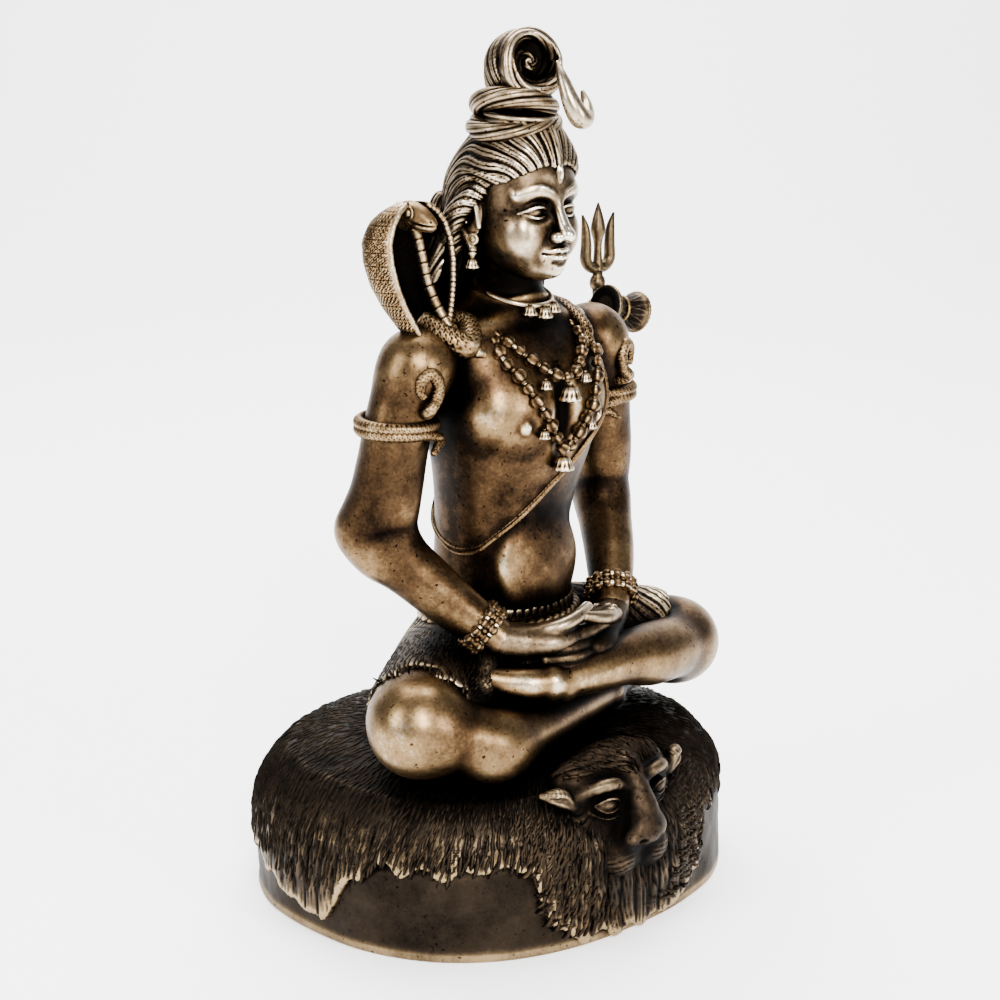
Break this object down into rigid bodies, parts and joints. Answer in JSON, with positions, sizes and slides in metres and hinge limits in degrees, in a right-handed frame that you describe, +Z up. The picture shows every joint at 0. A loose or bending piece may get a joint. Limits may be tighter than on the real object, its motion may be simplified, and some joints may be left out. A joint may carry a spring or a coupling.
{
  "type": "seated shiva statue",
  "caption": "Cast brass figure of a seated meditating Shiva on a rounded rock base draped with a maned animal skin, with a lift-out trident and drum beside the left shoulder.",
  "frame": {"origin": "centre of the bounding box on the bottom rim of the base", "axes": "+Z up through the topknot, the figure faces -Y, its left side is +X"},
  "size_m": [0.232, 0.2088, 0.4],
  "materials": {
    "rock_patina": "satin dark brown patina on cast brass",
    "fur_patina": "chased fur with dark patina, ridges rubbed bright",
    "beast_patina": "cast relief with dark patina, raised parts rubbed",
    "body_brass": "semi-polished antique brass",
    "hand_polish": "rubbed bright antique brass",
    "cloth_patina": "tooled cloth texture with dark patina",
    "hair_patina": "grooved strands with dark patina, crests rubbed",
    "bead_polish": "rubbed beads with dark gaps",
    "snake_patina": "scaled surface with dark patina",
    "trident_patina": "dark patina, edges rubbed"
  },
  "bodies": {
    "statue": {"plinth_rock": "rock_patina", "animal_skin": "fur_patina", "animal_head": "beast_patina", "animal_muzzle": "beast_patina", "right_leg": "body_brass", "left_leg": "body_brass", "right_foot": "body_brass", "left_foot": "body_brass", "loincloth": "cloth_patina", "waist_belt": "bead_polish", "torso": "body_brass", "right_arm": "body_brass", "left_arm": "body_brass", "right_hand": "hand_polish", "left_hand": "hand_polish", "neck": "body_brass", "head": "hand_polish", "hair_cap": "hair_patina", "hair_fall": "hair_patina", "topknot_coil": "hair_patina", "topknot_bun": "hair_patina", "crescent_moon": "hand_polish", "right_ear_drop": "bead_polish", "left_ear_drop": "bead_polish", "neck_band": "bead_polish", "inner_mala": "bead_polish", "outer_mala": "bead_polish", "sacred_thread": "bead_polish", "cobra_coil": "snake_patina", "cobra_hood": "snake_patina", "cobra_head": "snake_patina", "right_armlet": "snake_patina", "left_armlet": "snake_patina", "right_bracelet": "bead_polish", "left_bracelet": "bead_polish", "trident_socket": "trident_patina"},
    "trident": {"trident_shaft": "trident_patina", "trident_prongs": "trident_patina", "damaru_drum": "trident_patina", "damaru_skin_inner": "trident_patina", "damaru_skin_outer": "trident_patina", "damaru_cord": "bead_polish"}
  },
  "joints": [
    {"name": "trident_lift", "type": "slide", "parent": "statue", "child": "trident", "axis": [0, 0, 1], "range_m": [0, 0.02]}
  ]
}
